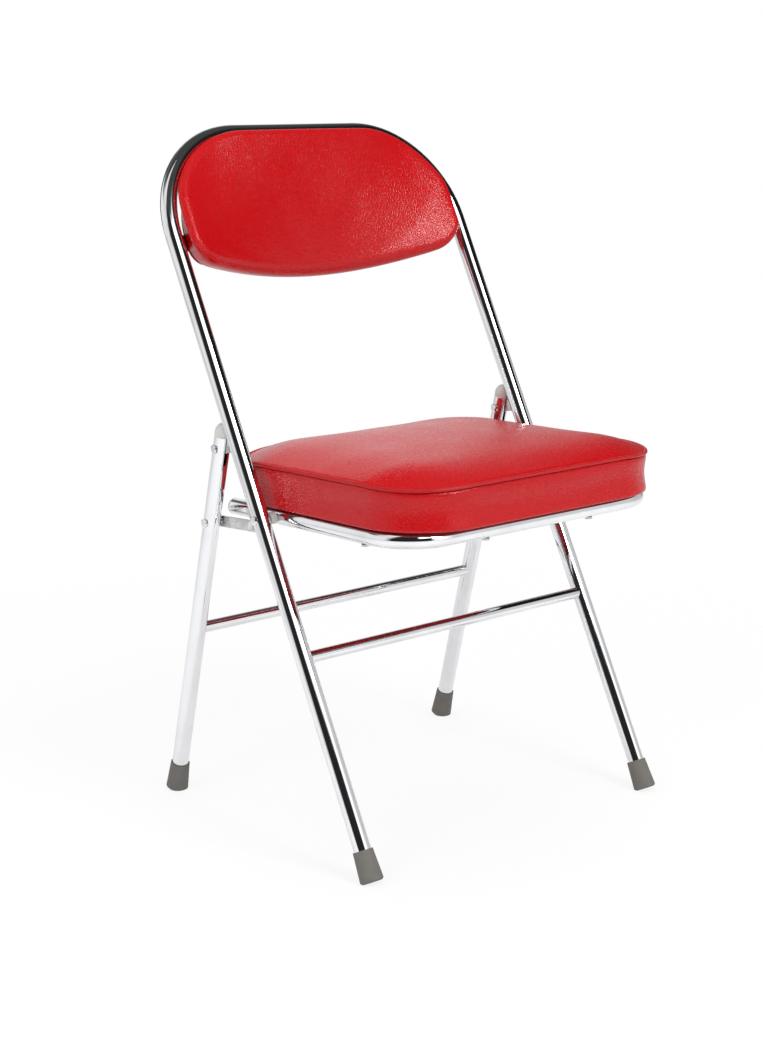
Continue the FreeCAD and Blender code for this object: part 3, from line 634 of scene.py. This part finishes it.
def makeBackrestPad():
    look = backLook
    pad, free, _ = softForm(
        "backrestPad", look["cells"], look["crowd"],
        lambda spot: backPoint(spot, -1.0, look["faceInset"], None), len(look["edge"]),
        lambda spot, level: backPoint(spot, *look["edge"][level]),
        lambda spot: backPoint(spot, 0.0, *look["rear"]))
    inflate(pad, free, look["pressure"], look["frames"], look["cap"])
    refine(pad, free, look["ease"])
    clearHoop(pad)
    bpy.ops.object.shade_smooth()
    pad.data.materials.clear()
    pad.data.materials.append(redVinyl)
    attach(pad, "front_frame")
    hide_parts("backrest_pad")
    return pad


backBoardLook = {"cells": 48, "inset": 0.0120, "out": -0.0003, "thick": 0.0040, "edge": 0.0010}


def makeBackrestBoard():  # covered board behind the pad, bent with it
    look = backBoardLook
    deselectAll()
    bpy.ops.mesh.primitive_grid_add(x_subdivisions=look["cells"], y_subdivisions=look["cells"], size=2.0)
    board = bpy.context.object
    board.name = "backrestBoard"
    for vertex in board.data.vertices:
        vertex.co = backPoint(discSpot(vertex.co.x, vertex.co.y), 0.0, look["inset"], look["out"])
    wall = board.modifiers.new("wall", "SOLIDIFY")  # the grid faces the pad, the wall grows to the rear
    wall.thickness = look["thick"]
    wall.offset = -1.0
    wall.use_even_offset = True
    soften = board.modifiers.new("soften", "BEVEL")
    soften.width = look["edge"]
    soften.segments = 3
    soften.limit_method = "ANGLE"
    soften.angle_limit = math.radians(50.0)
    applyModifiers(board)
    bpy.ops.object.shade_smooth_by_angle(angle=math.radians(40.0))
    board.data.materials.clear()
    board.data.materials.append(coveredBoard)
    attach(board, "front_frame")
    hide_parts("backrest_board")
    return board


seatCushion = makeSeatCushion()
print("seat cushion", len(seatCushion.data.vertices))
seatWelt = makeSeatWelt()
print("seat welt", len(seatWelt.data.vertices))
backrestPad = makeBackrestPad()
print("backrest pad", len(backrestPad.data.vertices))
backrestBoard = makeBackrestBoard()
print("backrest board", len(backrestBoard.data.vertices))


# studio

stageLook = {"size": 14.0, "floor": 0.86, "glowNear": 0.85, "glowFrom": 0.35, "glowTo": 1.5,
             "glossGlow": 0.22, "world": 0.62}


def makeFloor():
    deselectAll()
    bpy.ops.mesh.primitive_plane_add(size=stageLook["size"], location=(0, 0, 0))
    floor = bpy.context.object
    floor.name = "studioFloor"
    material, tree, shader, place = newMaterial("paleFloor", (stageLook["floor"],) * 3)
    shader.inputs["Roughness"].default_value = 0.9
    shader.inputs["Specular IOR Level"].default_value = 0.1
    glow = newNode(tree, "ShaderNodeEmission", 0, -200, Color=(1, 1, 1, 1))
    seen = newNode(tree, "ShaderNodeLightPath", -600, 400)
    away = newNode(tree, "ShaderNodeVectorMath", -900, 200, operation="LENGTH")
    spread = newNode(tree, "ShaderNodeMapRange", -700, 200, interpolation_type="SMOOTHSTEP")
    spread.inputs["From Min"].default_value = stageLook["glowFrom"]
    spread.inputs["From Max"].default_value = stageLook["glowTo"]
    spread.inputs["To Min"].default_value = stageLook["glowNear"]
    clear = newNode(tree, "ShaderNodeMath", -500, 400, operation="MAXIMUM")
    direct = newNode(tree, "ShaderNodeMath", -400, 300, operation="MULTIPLY")
    mirrored = newNode(tree, "ShaderNodeMath", -400, 500, operation="MULTIPLY")
    mirrored.inputs[1].default_value = stageLook["glossGlow"]
    share = newNode(tree, "ShaderNodeMath", -200, 400, operation="MAXIMUM")
    mix = newNode(tree, "ShaderNodeMixShader", 300, 0)
    link = tree.links.new
    link(place, away.inputs[0])
    link(away.outputs["Value"], spread.inputs["Value"])
    link(seen.outputs["Is Camera Ray"], clear.inputs[0])
    link(seen.outputs["Is Transmission Ray"], clear.inputs[1])
    link(clear.outputs["Value"], direct.inputs[0])
    link(spread.outputs["Result"], direct.inputs[1])
    link(seen.outputs["Is Glossy Ray"], mirrored.inputs[0])
    link(direct.outputs["Value"], share.inputs[0])
    link(mirrored.outputs["Value"], share.inputs[1])
    link(share.outputs["Value"], mix.inputs[0])
    link(shader.outputs["BSDF"], mix.inputs[1])
    link(glow.outputs["Emission"], mix.inputs[2])
    link(mix.outputs["Shader"], tree.nodes["Material Output"].inputs["Surface"])
    floor.data.materials.append(material)


flagLook = {"from": (0.60, -1.05), "to": (0.95, 0.40), "low": 0.78, "high": 1.65,
            "black": (0.01, 0.01, 0.01)}


def makeFlag():  # black card right of the chair, only the chrome and the vinyl mirror it
    look = flagLook
    run = Vector(look["to"]) - Vector(look["from"])
    middle = (Vector(look["to"]) + Vector(look["from"])) / 2.0
    place = (middle.x, middle.y, (look["low"] + look["high"]) / 2.0)
    turn = (math.radians(90.0), 0.0, math.atan2(run.y, run.x))
    deselectAll()
    bpy.ops.mesh.primitive_plane_add(size=1.0, location=place, rotation=turn)
    flag = bpy.context.object
    flag.name = "blackFlag"
    flag.scale = (run.length, look["high"] - look["low"], 1.0)
    bpy.ops.object.transform_apply(location=True, rotation=True, scale=True)
    material, _, shader, _ = newMaterial("flagCloth", look["black"])
    shader.inputs["Roughness"].default_value = 1.0
    shader.inputs["Specular IOR Level"].default_value = 0.0
    flag.data.materials.append(material)
    flag.visible_camera = False
    flag.visible_diffuse = False
    flag.visible_shadow = False
    flag.visible_transmission = False


aroundLook = {  # greys that chrome and vinyl mirror, by degrees round from the front, in three heights
    "low": [(-180, 0.04), (-171, 0.06), (-165, 0.95), (-98, 0.90), (-84, 0.02), (-6, 0.02), (6, 1.5),
            (24, 1.5), (40, 0.75), (70, 0.60), (95, 0.60), (112, 0.15), (129, 0.12), (139, 0.85),
            (166, 0.90), (171, 0.06), (180, 0.04)],
    "middle": [(-180, 0.12), (-140, 0.12), (-122, 0.80), (-92, 0.80), (-80, 0.02), (-32, 0.02), (-24, 2.2),
               (18, 2.2), (34, 0.12), (46, 0.02), (84, 0.02), (108, 0.06), (140, 0.15), (180, 0.12)],
    "high": [(-180, 0.06), (-128, 0.06), (-116, 0.95), (-88, 0.95), (-76, 0.06), (180, 0.06)],
    "lowTop": (29.0, 34.0), "middleTop": (46.0, 56.0),  # degrees up, where one height turns into the next
}


def greyBand(tree, turn, stops, x, y):  # ramp round the horizon
    band = newNode(tree, "ShaderNodeValToRGB", x, y)
    ramp = band.color_ramp
    while len(ramp.elements) > 1:
        ramp.elements.remove(ramp.elements[-1])
    for index, (degrees, value) in enumerate(stops):
        place = (degrees + 180.0) / 360.0
        element = ramp.elements[0] if index == 0 else ramp.elements.new(place)
        element.position = place
        element.color = (value, value, value, 1.0)
    tree.links.new(turn, band.inputs["Fac"])
    return band.outputs["Color"]


def riseShare(tree, height, limits, x, y):  # 0 below the first angle, 1 above the second
    node = newNode(tree, "ShaderNodeMapRange", x, y, interpolation_type="SMOOTHSTEP")
    node.inputs["From Min"].default_value = math.sin(math.radians(limits[0]))
    node.inputs["From Max"].default_value = math.sin(math.radians(limits[1]))
    tree.links.new(height, node.inputs["Value"])
    return node.outputs["Result"]


def makeWorld():
    world = bpy.data.worlds.new("studioWhite")
    scene.world = world
    world.use_nodes = True
    tree = world.node_tree
    tree.nodes.clear()
    out = newNode(tree, "ShaderNodeOutputWorld", 1000, 0)
    light = newNode(tree, "ShaderNodeBackground", 400, 100, Color=(1, 1, 1, 1), Strength=stageLook["world"])
    white = newNode(tree, "ShaderNodeBackground", 400, -100, Color=(1, 1, 1, 1), Strength=1.0)
    mirror = newNode(tree, "ShaderNodeBackground", 400, -300, Strength=1.0)
    place = newNode(tree, "ShaderNodeTexCoord", -1200, -300)
    apart = newNode(tree, "ShaderNodeSeparateXYZ", -1000, -300)
    flip = newNode(tree, "ShaderNodeMath", -800, -400, operation="MULTIPLY")
    flip.inputs[1].default_value = -1.0
    around = newNode(tree, "ShaderNodeMath", -600, -300, operation="ARCTAN2")
    turn = newNode(tree, "ShaderNodeMapRange", -400, -300)
    turn.inputs["From Min"].default_value = -math.pi
    turn.inputs["From Max"].default_value = math.pi
    lower = newNode(tree, "ShaderNodeMix", 50, -300, data_type="RGBA")
    upper = newNode(tree, "ShaderNodeMix", 230, -300, data_type="RGBA")
    path = newNode(tree, "ShaderNodeLightPath", 200, 400)
    clear = newNode(tree, "ShaderNodeMath", 450, 400, operation="MAXIMUM")
    first = newNode(tree, "ShaderNodeMixShader", 650, -100)
    second = newNode(tree, "ShaderNodeMixShader", 820, 0)
    link = tree.links.new
    link(place.outputs["Generated"], apart.inputs["Vector"])
    link(apart.outputs["Y"], flip.inputs[0])
    link(apart.outputs["X"], around.inputs[0])
    link(flip.outputs["Value"], around.inputs[1])
    link(around.outputs["Value"], turn.inputs["Value"])
    link(greyBand(tree, turn.outputs["Result"], aroundLook["low"], -250, -300), lower.inputs[6])
    link(greyBand(tree, turn.outputs["Result"], aroundLook["middle"], -250, -550), lower.inputs[7])
    link(greyBand(tree, turn.outputs["Result"], aroundLook["high"], -250, -800), upper.inputs[7])
    link(riseShare(tree, apart.outputs["Z"], aroundLook["lowTop"], -250, 0), lower.inputs["Factor"])
    link(riseShare(tree, apart.outputs["Z"], aroundLook["middleTop"], -250, 250), upper.inputs["Factor"])
    link(lower.outputs[2], upper.inputs[6])
    link(upper.outputs[2], mirror.inputs["Color"])
    link(path.outputs["Is Glossy Ray"], first.inputs[0])
    link(light.outputs["Background"], first.inputs[1])
    link(mirror.outputs["Background"], first.inputs[2])
    link(path.outputs["Is Camera Ray"], clear.inputs[0])
    link(path.outputs["Is Transmission Ray"], clear.inputs[1])
    link(clear.outputs["Value"], second.inputs[0])
    link(first.outputs["Shader"], second.inputs[1])
    link(white.outputs["Background"], second.inputs[2])
    link(second.outputs["Shader"], out.inputs["Surface"])


lampTarget = (0.0, 0.0, 0.42)
lampLook = [
    {"name": "frontLamp", "place": (0.25, -2.1, 2.0), "size": 0.9, "power": 34.0, "mirrored": True},
    {"name": "leftLamp", "place": (-2.4, -0.4, 1.9), "size": 1.5, "power": 26.0, "mirrored": False},
    {"name": "topLamp", "place": (0.3, 0.3, 2.8), "size": 1.8, "power": 22.0, "mirrored": False},
]


def makeLamps():
    for look in lampLook:
        deselectAll()
        bpy.ops.object.light_add(type="AREA", location=look["place"])
        lamp = bpy.context.object
        lamp.name = look["name"]
        lamp.data.size = look["size"]
        lamp.data.energy = look["power"]
        lamp.visible_glossy = look["mirrored"]
        aim = Vector(lampTarget) - lamp.location
        lamp.rotation_euler = aim.to_track_quat("-Z", "Y").to_euler()


cameraLook = {"place": (-1.445, -1.662, 0.851), "down": 13.22, "turn": -40.04, "lens": 64.3}


def makeCamera():
    deselectAll()
    bpy.ops.object.camera_add(location=cameraLook["place"])
    camera = bpy.context.object
    camera.rotation_euler = (math.radians(90.0 - cameraLook["down"]), 0.0, math.radians(cameraLook["turn"]))
    camera.data.lens = cameraLook["lens"]
    camera.data.sensor_width = 36.0
    camera.data.dof.use_dof = False
    scene.camera = camera


makeFloor()
makeFlag()
makeWorld()
makeLamps()
makeCamera()
scene.view_settings.view_transform = "Standard"
print("studio ready")

deselectAll()
